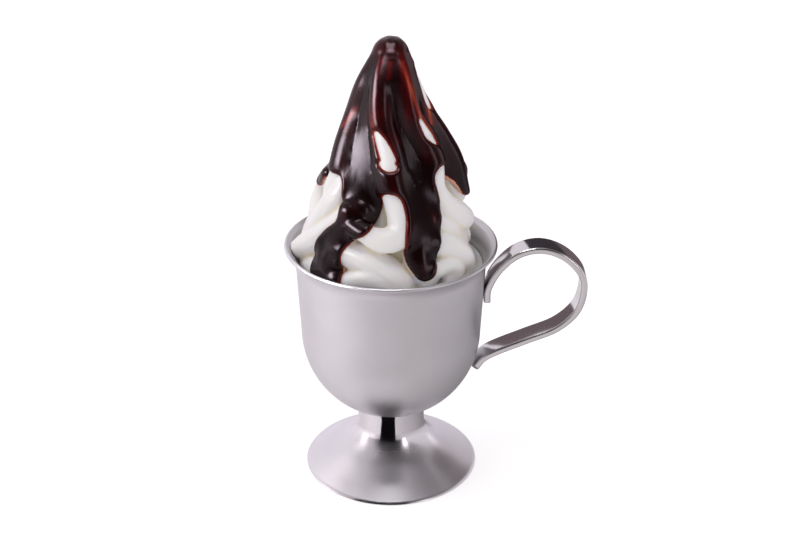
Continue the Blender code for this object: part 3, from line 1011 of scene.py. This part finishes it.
@dataclass
class Heap:
    """The soft serve's heap: a turned body with the folds squeezed from a star nozzle."""

    voxel: float = 0.53
    smoothing: int = 5
    smooth_share: float = 0.5
    sides: int = 24
    fold_steps: int = 12
    end_turns: Row = (0.25, 0.5, 0.75, 1.0, 1.25, 1.48)
    # By height: how far out the folds reach, and how far the body stays behind that
    reach: Line = field(default_factory=lambda: [
        (84, 36.0), (96, 36.0), (105, 34.0), (120, 28.8), (135, 23.4), (142, 20.4),
        (150, 16.6), (160, 13.4), (166, 10.9), (173, 7.4), (178, 4.1), (180.4, 0.0)])
    core_depth: Line = field(default_factory=lambda: [
        (84, 1.5), (90, 1.5), (98, 7.8), (112, 8.0), (132, 6.0), (160, 3.7), (174, 0.6)])
    core_step: float = 5.0
    tip_turn: float = 9.0
    tip_start: float = 174.0
    tip_top: float = 179.3
    tip_share: float = 0.86
    fold_tilt: float = math.radians(20)
    # Rows of angle, height, roll radius and lift above the reach
    front_folds: dict[str, Line] = field(default_factory=lambda: {
        "ridge_left": [(-66, 177.6, 2.0, 0), (-84, 164, 3.4, 0), (-86, 153, 4.4, 0),
                       (-72, 142, 4.9, 0), (-64, 134, 5.0, 0), (-66, 125, 5.0, 0)],
        "ridge_front": [(-28, 177.9, 2.0, 0), (-27, 168, 2.9, 0), (-17, 155, 3.7, 0.3),
                        (-3, 143, 4.3, 0.9), (2, 133, 4.8, 1.3), (8.5, 122, 5.2, 1.6),
                        (7, 116.5, 5.3, 2.2), (-4, 114.2, 4.8, 2.3), (-18, 115.4, 3.6, 1.4),
                        (-31, 117, 2.6, 0)],
        "ridge_right": [(30, 177.8, 2.0, 0), (39, 168, 3.0, 0), (38, 155, 3.9, 0),
                        (50, 145, 4.4, 0.3), (53, 137, 4.7, 0.4), (46, 128.5, 5.1, 0.4),
                        (54, 121, 6.2, 0.9), (67, 116.5, 6.2, 1.2), (78, 113, 5.2, 0.6)],
        "ridge_far_right": [(76, 177.6, 2.0, 0), (70, 164, 3.4, 0), (78, 153, 4.8, 0),
                            (91, 142.5, 6.0, 1.0), (96, 132, 6.8, 1.8), (90, 121, 5.0, 0)],
        "left_upper": [(-52, 133, 2.6, -2.4), (-54, 126.5, 4.6, 0.2), (-60, 121, 5.8, 1.0),
                       (-74, 110, 5.0, 0.5)],
        "left_over_lip": [(-36, 121, 4.2, 0), (-58, 111, 6.0, 0.8), (-80, 101, 5.4, 2.4),
                          (-90, 96.5, 4.0, 3.4)],
        "left_low": [(-84, 92, 4.5, 0), (-60, 96.5, 5.2, 0), (-38, 96, 5.0, 0)],
        "front_low": [(-38, 107, 5.6, -0.4), (-18, 105.4, 6.3, -0.1), (-2, 101, 6.8, 0.2),
                      (6, 98, 6.5, 0)],
        "front_bud": [(-27, 97.5, 4.0, 0), (-13, 100.3, 4.9, 0.6), (0, 97.5, 4.2, 0)],
        "right_middle": [(36, 119, 6.0, -0.5), (50, 114, 7.0, -0.5), (66, 105, 6.0, -3)],
        "right_low": [(26, 112, 5.0, -0.5), (41, 109.5, 6.5, 0.6), (56, 102.5, 6.2, 1.0),
                      (60, 97.5, 5.0, 0.2), (55, 94, 4.2, 0)],
        "right_swirl": [(24, 97.0, 3.2, -0.5), (31, 101.5, 3.7, 0.8), (42, 101.8, 3.7, 1.0),
                        (47, 98, 3.4, 0.9), (39, 96.2, 2.6, 0.2)],
        "right_bump": [(100, 131, 3.4, 0.5), (106, 126.5, 4.6, 2.4), (114, 121, 5.6, 1.4),
                       (128, 114, 5.6, 0)],
        "right_sunk": [(84, 104, 5.0, -5), (105, 100, 6.0, -3.5), (126, 95, 5.5, -2)],
        "under_left_tongue": [(-30, 122, 5.0, -1.5), (-39, 111, 5.5, -0.8), (-47, 103, 6.2, -0.6),
                              (-43, 96, 6.0, -0.6)],
        "under_middle_tongue": [(27, 124, 6.0, -1.5), (23, 114, 6.5, -1.0), (21, 106, 5.6, -0.6),
                                (21.5, 100.5, 4.6, -0.4)],
        "under_left_drop": [(-86, 128, 2.0, -1.0), (-95, 124, 2.2, -1.4), (-102, 121, 1.8, -1.4)]})
    back_ridge_starts: Row = (135, 196)
    back_ridge: Line = field(default_factory=lambda: [
        (0, 177.6, 2.0, 0), (6, 166, 3.2, 0), (16, 151, 4.6, 0), (30, 134, 5.4, 0.5),
        (38, 127, 5.0, 0.3)])
    back_tiers: dict[float, Row] = field(default_factory=lambda: {
        122.0: (134, 182, 230), 107.0: (124, 174, 221)})
    back_fold: Line = field(default_factory=lambda: [
        (0, 6.0, 4.6, 0), (13, 0.0, 5.9, 0.6), (28, -5.5, 6.2, 0.8), (43, -9.5, 5.0, 0)])
    # How far round a place the surface is averaged to find its creases, and how deep the full
    # painted crease shade lies
    crease_passes: int = 26
    crease_smoothing: int = 6
    crease_shade_depth: float = 0.40
    finish: CreamFinish = field(default_factory=CreamFinish)

    def core_line(self) -> Line:
        """Gives the section of the heap's body, from its tip down to its flat underside."""
        line = []
        for turn in np.radians(np.arange(90, 0, -self.tip_turn)):
            line.append((at(self.reach, self.tip_start) * self.tip_share * math.cos(turn),
                         self.tip_start + (self.tip_top - self.tip_start) * math.sin(turn)))
        line[0] = (0.0, self.tip_top)
        bottom = self.reach[0][0]
        for height in np.arange(self.tip_start, bottom - self.core_step / 2, -self.core_step):
            line.append((at(self.reach, height) - at(self.core_depth, height), height))
        return [*line, (0.0, bottom)]

    def folds(self) -> list[Line]:
        """Lists the front's own folds and those that the rule puts on the back."""
        folds = list(self.front_folds.values())
        for start in self.back_ridge_starts:
            folds.append([(start + turn, *rest) for turn, *rest in self.back_ridge])
        for middle, starts in self.back_tiers.items():
            for start in starts:
                folds.append([(start + turn, middle + rise, *rest)
                              for turn, rise, *rest in self.back_fold])
        return folds

    def roll(self, points: Line) -> np.ndarray:
        """Turns one fold into a smooth line with rounded ends.

        Args:
            points: Rows of angle, height, roll radius and lift above the heap's reach.

        Returns:
            Rows of x, y, z and roll radius.
        """
        rows = []
        for angle, height, radius, lift in points:
            out = at(self.reach, height) - radius * math.cos(self.fold_tilt) + lift
            turn = math.radians(angle)
            rows.append((out * math.sin(turn), -out * math.cos(turn),
                         height - radius * math.sin(self.fold_tilt), radius))
        line = smooth_line(rows, self.fold_steps)
        ends = []
        for end, inner in ((0, 1), (-1, -2)):
            away = line[end, :3] - line[inner, :3]
            away *= line[end, 3] / np.linalg.norm(away)
            ends.append([(*(line[end, :3] + away * math.sin(turn)), line[end, 3] * math.cos(turn))
                         for turn in self.end_turns])
        return np.vstack([ends[0][::-1], line, ends[1]])

    def surface(self) -> bpy.types.Object:
        """Fuses the heap's body and all its folds into one smooth closed surface."""
        item = turned("heap", self.core_line())
        rolls = rolled("folds", [self.roll(points) for points in self.folds()], self.sides)
        joined(item.data, rolls)
        modified(item, "REMESH", mode="VOXEL", voxel_size=self.voxel * MM)
        return modified(item, "SMOOTH", factor=self.smooth_share, iterations=self.smoothing)

    def on_reach(self, angle: np.ndarray, height: np.ndarray) -> np.ndarray:
        """Gives the places on the heap's reach at angles in degrees and at heights."""
        turn, out = np.radians(angle), at(self.reach, height)
        return np.stack([out * np.sin(turn), -out * np.cos(turn), height], axis=-1)

    def build(self, surface: bpy.types.Object, bowl: Bowl) -> bpy.types.Object:
        """Makes the soft serve that fills the bowl.

        Args:
            surface: The heap's closed surface.
            bowl: The bowl that it fills.

        Returns:
            The soft serve.
        """
        item = place("cream", surface.data.copy())
        filling, room = bowl.filling(self.reach[0][0]), bowl.room()
        boolean(item, filling, Cut.UNION)
        boolean(item, room, Cut.INTERSECT)
        drop(filling, room)
        keep_largest(item)
        self.paint_crease_shade(item)
        dress(item, self.finish.material(), FOOD_SHARP)
        return item

    def paint_crease_shade(self, item: bpy.types.Object) -> None:
        """Keeps how deep each place lies in a crease, for the shade painted into the cream's colour.
        """
        places, normals = read_surface(item.data)
        near = Neighbours(item.data)
        middle = places
        for _ in range(self.crease_passes):
            middle = near.mean_places(middle)
        depth = ((middle - places) * normals).sum(axis=1)
        depth = np.where(places[:, 2] > self.reach[0][0], depth, 0.0)
        for _ in range(self.crease_smoothing):
            depth = near.mean(depth)
        # The hollow value drives the painted crease shade in the cream's colour
        write_values(item.data, "hollow", np.clip(depth / self.crease_shade_depth, 0.0, 1.0))


@dataclass
class Sauce:
    """The chocolate sauce: a hem round the heap, tongues that run down, and bare gaps."""

    # The hem's height by angle; tongues and gaps in rows of angle, height and half width
    hem: Line = field(default_factory=lambda: [
        (-85, 132), (-55, 132), (0, 130), (50, 135.5), (110, 139), (230, 138), (275, 132)])
    tongues: dict[str, Line] = field(default_factory=lambda: {
        "left": [(-30, 134, 7.5), (-27, 127, 8.8), (-26, 121.5, 7.8), (-34, 115, 5.2),
                 (-42, 109.5, 5.9), (-46, 103, 7.4), (-43, 97, 7.0)],
        "middle": [(23, 134, 7.5), (26, 123, 7.6), (23, 114, 7.4), (21, 107, 6.2),
                   (21.5, 102, 4.2)],
        "right": [(84, 138, 8.5), (91, 130, 7.0), (90, 123, 5.0)],
        "left_drop": [(-84, 130, 3.0), (-93, 125.5, 2.6), (-101, 122.5, 2.2)],
        "back_right": [(134, 138, 6.5), (141, 124, 5.6), (140, 114, 5.2)],
        "back_left": [(198, 138, 7.0), (205, 122, 6.2), (203, 109, 5.6)],
        "back_short": [(250, 136, 5.5), (255, 126, 4.6)]})
    gaps: dict[str, Line] = field(default_factory=lambda: {
        "front": [(-17, 149.0, 1.2), (-12, 147.0, 1.8), (-7, 144.2, 2.3), (-2, 141.0, 2.4)],
        "front_corner": [(-9, 139.4, 1.0), (-3, 138.8, 1.4), (3, 138.6, 1.1)],
        "right": [(43, 152.4, 0.7), (46, 150, 1.2), (50, 147, 1.7), (56, 144.2, 1.2)],
        "far_right": [(79, 168.5, 1.4), (77, 164, 2.3), (75, 159, 2.3), (74, 155.5, 1.3)],
        "back": [(205, 152, 0.8), (209, 147, 2.0), (213, 141.5, 2.9), (219, 137.5, 2.2)]})
    # Lines down the ridges where the sauce is thin: angle, height, half width
    streaks: dict[str, Line] = field(default_factory=lambda: {
        "right_ridge": [(31, 173, 0.5), (33, 169, 0.8), (36, 163, 0.9), (40, 157, 0.8),
                        (43, 153, 1.2)],
        "front_ridge_left": [(-24, 174, 0.4), (-27, 168, 0.4), (-26, 160, 0.3), (-22, 152, 0.5)],
        "front_ridge_right": [(-2, 173, 0.5), (-5, 168, 0.2)],
        "left_ridge": [(-68, 155, 0.4), (-70, 152, 0.9), (-73, 148, 0.7)],
        "far_right_ridge": [(64, 163, 0.6), (66, 157, 1.0), (64, 150, 0.8)]})
    stroke_steps: int = 8
    blend: float = 5.0
    # By height: the full thickness, and how far in from the edge it is reached
    thickness: Line = field(default_factory=lambda: [(100, 1.70), (150, 1.05)])
    edge_width: Line = field(default_factory=lambda: [(122, 1.3), (150, 2.2)])
    least_slope: float = 0.3
    sink: float = 1.6
    smoothing: int = 3
    smooth_share: float = 0.5
    # By height: how far over the valleys the sauce may lie
    fill: Line = field(default_factory=lambda: [
        (100, 10.0), (120, 6.0), (135, 2.0), (150, 0.7), (165, 0.6), (173, 2.0), (179, 2.5)])
    drape_passes: int = 900
    drape_start: float = 0.3
    thickness_passes: int = 2
    # What the colour reads as the edge's distance: its gain by height, what each millimetre of
    # thickness over the second number adds, and its level and fall along a streak
    rim_gain: Line = field(default_factory=lambda: [(126, 2.4), (146, 1.0)])
    rim_thickness: Row = (2.0, 0.55)
    rim_streak: Row = (0.47, 0.42)
    rim_most: float = 20.0
    finish: ChocolateFinish = field(default_factory=ChocolateFinish)

    def stroke_depth(self, points: Line, places: np.ndarray, heap: Heap) -> np.ndarray:
        """Tells how far each place lies inside a stroke of varying half width.

        Args:
            points: Rows of angle, height and half width.
            places: Places on the heap's reach.
            heap: The heap.

        Returns:
            The depths, below 0 outside.
        """
        line = smooth_line(points, self.stroke_steps)
        deepest = np.full(len(places), -np.inf)
        for middle, half in zip(heap.on_reach(line[:, 0], line[:, 1]), line[:, 2]):
            deepest = np.maximum(deepest, half - np.linalg.norm(places - middle, axis=1))
        return deepest

    def depth(self, places: np.ndarray, heap: Heap) -> np.ndarray:
        """Tells how far each place of the heap lies inside the sauce's edge.

        Args:
            places: Places on or near the heap.
            heap: The heap.

        Returns:
            The depths, below 0 outside.
        """
        angle = turns(places)
        angle = np.where(angle < self.hem[0][0], angle + 360.0, angle)
        flat = heap.on_reach(angle, places[:, 2])
        depth = places[:, 2] - at(self.hem, angle)
        for points in self.tongues.values():
            tongue = self.stroke_depth(points, flat, heap)
            near = np.maximum(self.blend - np.abs(depth - tongue), 0.0) / self.blend
            depth = np.maximum(depth, tongue) + near ** 2 * self.blend / 4
        for points in self.gaps.values():
            depth = np.minimum(depth, -self.stroke_depth(points, flat, heap))
        return depth

    def depth_along(self, mesh: bpy.types.Mesh, heap: Heap) -> np.ndarray:
        """Tells the same for a mesh's vertices, as measured along the mesh itself."""
        places, _ = read_surface(mesh)
        near = Neighbours(mesh)
        depth = self.depth(places, heap)
        slope = near.mean(near.mean(near.slope(depth, places)))
        return depth / np.clip(slope, self.least_slope, 1.0)

    def drape(self, mesh: bpy.types.Mesh, covered: np.ndarray) -> None:
        """Draws a skin over the covered places, which fills the valleys as far as it may."""
        places, normals = read_surface(mesh)
        near = Neighbours(mesh)
        limit = at(self.fill, places[:, 2])
        skin = places.copy()
        for _ in range(self.drape_passes):
            skin = np.where(covered[:, None], near.mean_places(skin), places)
            lift = ((skin - places) * normals).sum(axis=1)
            skin += normals * (np.clip(lift, 0.0, limit) - lift)[:, None]
        write_surface(mesh, skin)

    def surface(self, surface: bpy.types.Object, heap: Heap) -> bpy.types.Object:
        """Lifts the heap's surface by the sauce's thickness, and sinks it where none lies.

        Args:
            surface: The heap's closed surface.
            heap: The heap.

        Returns:
            The lifted surface.
        """
        item = place("chocolate", surface.data.copy())
        depth = self.depth_along(item.data, heap)
        self.drape(item.data, depth > self.drape_start)
        places, normals = read_surface(item.data)
        full = at(self.thickness, places[:, 2])
        inside = np.clip(depth / at(self.edge_width, places[:, 2]), 0.0, 1.0)
        edge = np.sqrt(1.0 - (1.0 - inside) ** 2)
        sunk = -self.sink * np.clip(-depth, 0.0, 1.0)
        amount = np.where(depth > 0.0, full * edge, sunk)
        write_surface(item.data, places + normals * amount[:, None])
        return modified(item, "SMOOTH", factor=self.smooth_share, iterations=self.smoothing)

    def build(self, surface: bpy.types.Object, heap: Heap, cream: bpy.types.Object,
              bowl: Bowl) -> bpy.types.Object:
        """Makes the coat of sauce.

        Args:
            surface: The heap's closed surface.
            heap: The heap.
            cream: The finished soft serve.
            bowl: The bowl round it.

        Returns:
            The sauce.
        """
        item = self.surface(surface, heap)
        room = bowl.room()
        boolean(item, room, Cut.INTERSECT)
        under = place("under", cream.data.copy())
        boolean(item, under, Cut.DIFFERENCE)
        drop(room, under)
        keep_largest(item)
        self.mark_thickness(item, cream, heap)
        dress(item, self.finish.material(), FOOD_SHARP)
        return item

    def mark_thickness(self, item: bpy.types.Object, cream: bpy.types.Object, heap: Heap) -> None:
        """Keeps how thick the sauce is at each place and how far its edge is, for its colour.

        Args:
            item: The sauce.
            cream: The finished soft serve.
            heap: The heap.
        """
        tree = BVHTree.FromObject(cream, bpy.context.evaluated_depsgraph_get())
        thickness = np.array([tree.find_nearest(corner.co)[3] for corner in item.data.vertices]) / MM
        near = Neighbours(item.data)
        for _ in range(self.thickness_passes):
            thickness = near.mean(thickness)
        write_values(item.data, "thickness", thickness)
        places = read_surface(item.data)[0]
        flat = heap.on_reach(turns(places), places[:, 2])
        rim = self.depth_along(item.data, heap) * at(self.rim_gain, places[:, 2])
        gain, start = self.rim_thickness
        rim += gain * np.maximum(thickness - start, 0.0)
        high, fall = self.rim_streak
        for points in self.streaks.values():
            rim = np.minimum(rim, high - self.stroke_depth(points, flat, heap) * fall)
        write_values(item.data, "rim", np.clip(near.mean(rim), 0.0, self.rim_most))


def direction(angle: float, rise: float) -> Row:
    """Gives the direction away from the cup at an angle and a rise in degrees."""
    turn, up = math.radians(angle), math.radians(rise)
    return (math.sin(turn) * math.cos(up), -math.cos(turn) * math.cos(up), math.sin(up))


@dataclass(frozen=True)
class SoftBox:
    """A flat soft light that faces the cup.

    Its angle runs as the cup's angles do, its rise is its height above the horizon in degrees,
    its glow is how bright its face looks, and it faces the cup's axis at the height of its aim.
    """

    name: str
    angle: float
    rise: float
    distance: float
    width: float
    height: float
    glow: float
    mirrored: bool = True
    aim: float = 80.0

    def build(self) -> bpy.types.Object:
        """Makes the light."""
        target = Vector((AXIS_X * MM, 0.0, self.aim * MM))
        lamp = bpy.data.lights.new(self.name, "AREA")
        lamp.shape = "RECTANGLE"
        lamp.size = self.width
        lamp.size_y = self.height
        lamp.energy = self.glow * math.pi * self.width * self.height
        item = place(self.name, lamp)
        away = Vector(direction(self.angle, self.rise))
        item.location = target + away * self.distance
        item.rotation_euler = away.to_track_quat("Z", "Y").to_euler()
        item.visible_camera = False
        item.visible_glossy = self.mirrored
        return item


def upright(start: Row, end: Row, low: float, high: float) -> Line:
    """Gives the corners of an upright rectangle over a line on the floor."""
    return [(*start, low), (*end, low), (*end, high), (*start, high)]


@dataclass(frozen=True)
class Screen:
    """A flat card that only mirrors show: the steel and the sauce pick it up.

    Its corners are places in millimetres, and its colour is how bright its face looks.
    """

    name: str
    corners: Line
    colour: Colour
    soft: bool = False

    def face(self, paint: Paint) -> Any:
        """Gives the card's colour, which fades out towards its edges where it is soft."""
        if not self.soft:
            return self.colour
        share: Any = 1.0
        spots = paint.parts(paint.node("ShaderNodeTexCoord", output="Generated"))
        for spot in (spots[0], spots[2]):
            off = spot * 2.0 - 1.0
            share = share * (1.0 - off * off)
        return paint.mix(share.limited(), (0.0, 0.0, 0.0), self.colour)

    def build(self) -> None:
        """Makes the card."""
        mesh = bpy.data.meshes.new(self.name)
        mesh.from_pydata([tuple(part * MM for part in corner) for corner in self.corners], [],
                         [tuple(range(len(self.corners)))])
        paint = Paint(self.name)
        paint.set(Base_Color=(0.0, 0.0, 0.0), Roughness=1.0, Specular_IOR_Level=0.0,
                  Emission_Color=self.face(paint), Emission_Strength=1.0)
        mesh.materials.append(paint.material)
        card = place(self.name, mesh)
        card.visible_camera = False
        card.visible_diffuse = False
        card.visible_shadow = False


@dataclass(frozen=True)
class Glow:
    """A bright soft-edged patch of the surroundings.

    It has an angle and a rise as a soft light has, half a width and half a height in degrees,
    and its glow.
    """

    angle: float
    rise: float
    half_width: float
    half_height: float
    glow: float
    edge: float = 0.75
    front_gain: float = 1000.0

    def share(self, bench: Bench, towards: Wire) -> Wire:
        """Tells how much of the glow each direction sees.

        Args:
            bench: The node tree.
            towards: The direction.

        Returns:
            The share, from 0 to 1.
        """
        side = direction(self.angle + 90.0, 0.0)
        above = direction(self.angle, self.rise + 90.0)
        depth = bench.dot(towards, direction(self.angle, self.rise))
        share = (depth * self.front_gain).limited()
        for across, half in ((side, self.half_width), (above, self.half_height)):
            reach = (bench.dot(towards, across) / depth).size() / math.tan(math.radians(half))
            share = share * ((1.0 + self.edge / 2 - reach) / self.edge).eased()
        return share


@dataclass
class Studio:
    """The floor, the lights and the camera."""

    floor_size: float = 12.0
    picture_width: float = 788.0
    sensor: float = 36.0
    focal_pixels: float = 1538.75
    camera_distance: float = 532.87
    camera_height: float = 354.70
    camera_side: float = 1.218
    camera_dip: float = 0.4668
    backdrop: Colour = (1.0, 1.0, 1.0)
    air: Colour = (0.80, 0.745, 0.775)
    # How much green a blue band loses for each part of red
    green_loss: float = 0.8
    # Bands of the surroundings, each with the heights in degrees between which it takes over
    # from the band below, and its rows of angle, brightness and blueness
    rings: list[tuple[float, float, Line]] = field(default_factory=lambda: [
        (-92, -91, [(-180, 1.0, 0.0), (-120, 1.07, 0.0), (-84, 1.26, 0.0), (-60, 1.24, 0.0),
                    (-30, 1.06, 0.0), (0, 0.98, 0.0), (40, 0.79, 0.0), (90, 0.60, 0.0),
                    (135, 0.39, 0.0), (180, 0.28, 0.0)]),
        (-24, -14, [(-180, 1.25, 0.08), (-130, 1.3, 0.03), (-100, 1.5, 0.0), (-60, 1.6, 0.0),
                    (-40, 0.8, 0.0), (10, 0.55, 0.0), (36, 0.85, 0.0), (90, 0.87, 0.0),
                    (150, 0.95, 0.08), (180, 1.2, 0.08)]),
        (0, 10, [(-180, 1.2, 0.06), (-140, 1.25, 0.03), (-100, 1.1, 0.0), (-60, 0.7, 0.0),
                 (-36, 0.06, 0.0), (20, 0.05, 0.0), (50, 0.18, 0.0), (84, 0.30, 0.0),
                 (130, 0.74, 0.0), (158, 0.80, 0.0), (180, 0.9, 0.03)]),
        (32, 50, [(-180, 1.2, 0.0), (-132, 1.8, 0.0), (-105, 0.9, 0.0), (-60, 0.3, 0.0),
                  (0, 0.10, 0.0), (60, 0.15, 0.0), (108, 0.26, 0.0), (180, 0.5, 0.0)]),
        (62, 80, [(-180, 0.95, 0.0), (-120, 1.2, 0.0), (-60, 0.9, 0.0), (60, 0.7, 0.0),
                  (180, 0.7, 0.0)])])
    glows: list[Glow] = field(default_factory=lambda: [
        Glow(-86, 10, 10, 17, 1.2),
        Glow(44, 14, 7, 14, 3.4),
        Glow(112, 9, 22, 9, 1.1)])
    boxes: list[SoftBox] = field(default_factory=lambda: [
        SoftBox("front_light", -24, 40, 1.6, 1.6, 1.2, 0.56, mirrored=False),
        SoftBox("right_fill", 75, 30, 1.6, 1.4, 1.2, 0.12, mirrored=False),
        SoftBox("left_window", -86, 10, 0.26, 0.08, 0.15, 1.2, False, 150.0),
        SoftBox("top_window", -6, 67, 0.13, 0.09, 0.05, 8.0, aim=180.0)])
    screens: list[Screen] = field(default_factory=lambda: [
        Screen("stem_shade", upright((-39, -37), (-9.5, -37), -30, 23), (0.004, 0.003, 0.004)),
        Screen("back_shade", upright((-8, 75), (130, 60), 60, 108), (0.17, 0.13, 0.142)),
        Screen("back_gloom", upright((22, 72), (130, 60), 108, 190), (0.05, 0.042, 0.05)),
        Screen("right_glow", upright((180, -200), (180, 120), 0, 95), (0.80, 0.76, 0.79)),
        Screen("left_face", upright((-173, -148), (-227, -12), 175, 270), (34.0, 33.0, 35.0), True),
        Screen("left_shelf", [(-175, -110, 100), (-75, -110, 100), (-75, 5, 100), (-175, 5, 100)],
               (0.62, 0.58, 0.61)),
        Screen("tip_face", upright((-52, -50), (12, -50), 197, 256), (16.0, 13.4, 14.4), True)])

    def build_floor(self) -> None:
        """Makes the plain white floor."""
        mesh = bpy.data.meshes.new("floor")
        half = self.floor_size / 2
        mesh.from_pydata([(-half, -half, 0), (half, -half, 0), (half, half, 0), (-half, half, 0)],
                         [], [(0, 1, 2, 3)])
        floor = place("floor", mesh)
        mesh.materials.append(FloorFinish().material())
        floor.visible_glossy = False

    def build_world(self) -> None:
        """Makes the surroundings that light the cup, behind which the view is plain white."""
        world = bpy.data.worlds.new("studio")
        bpy.context.scene.world = world
        world.use_nodes = True
        bench = Bench(world.node_tree)
        world.node_tree.nodes.remove(world.node_tree.nodes["Background"])
        towards = bench.node("ShaderNodeTexCoord", output="Generated")
        x, y, z = bench.parts(towards)
        turn = x.turn_from(0.0 - y) / (2.0 * math.pi) + 0.5
        rise = z.rise() / math.radians(90.0)
        around: Any = (0.0, 0.0, 0.0)
        for start, end, ring in self.rings:
            share = ((rise - start / 90.0) * (90.0 / (end - start))).eased()
            around = bench.mix(share, around, bench.ramp(turn, self.stops(ring)))
        for glow in self.glows:
            around = bench.mix(glow.share(bench, towards), around, (glow.glow,) * 3, "ADD")
        around = bench.mix(1.0, around, self.air, "MULTIPLY")
        lit = bench.node("ShaderNodeBackground", sockets={"Color": around})
        behind = bench.node("ShaderNodeBackground", sockets={"Color": self.backdrop})
        seen = bench.node("ShaderNodeLightPath", output="Is Camera Ray")
        chosen = bench.node("ShaderNodeMixShader", sockets={0: seen, 1: lit, 2: behind})
        bench.feed(world.node_tree.nodes["World Output"].inputs["Surface"], chosen)

    def stops(self, ring: Sequence[Row]) -> list[tuple[float, Colour]]:
        """Turns rows of angle, brightness and blueness into a ramp's stops."""
        return [(angle / 360.0 + 0.5,
                 (bright * (1 - blue), bright * (1 - blue * self.green_loss), bright))
                for angle, bright, blue in ring]

    def build_camera(self) -> None:
        """Makes the camera, which looks down on the cup from the front."""
        data = bpy.data.cameras.new("camera")
        data.sensor_width = self.sensor
        data.lens = self.sensor * self.focal_pixels / self.picture_width
        camera = place("camera", data)
        camera.location = ((AXIS_X + self.camera_side) * MM, -self.camera_distance * MM,
                           self.camera_height * MM)
        camera.rotation_euler = (math.pi / 2 - self.camera_dip, 0.0, 0.0)
        bpy.context.scene.camera = camera

    def build(self) -> None:
        """Makes the whole studio."""
        self.build_floor()
        self.build_world()
        self.build_camera()
        for thing in (*self.boxes, *self.screens):
            thing.build()
        bpy.context.scene.view_settings.view_transform = "Standard"


def main() -> None:
    """Builds the studio, the cup, the soft serve and the sauce."""
    logging.basicConfig(level=logging.INFO, format="%(name)s: %(message)s")
    Studio().build()
    bowl = Bowl()
    bowl.build()
    Foot(bowl=bowl).build()
    Handle().build()
    heap, sauce = Heap(), Sauce()
    surface = heap.surface()
    cream = heap.build(surface, bowl)
    chocolate = sauce.build(surface, heap, cream, bowl)
    drop(surface)
    hand_over(cream, "soft_serve")
    hand_over(chocolate, "chocolate_sauce")


if __name__ == "__main__":
    main()
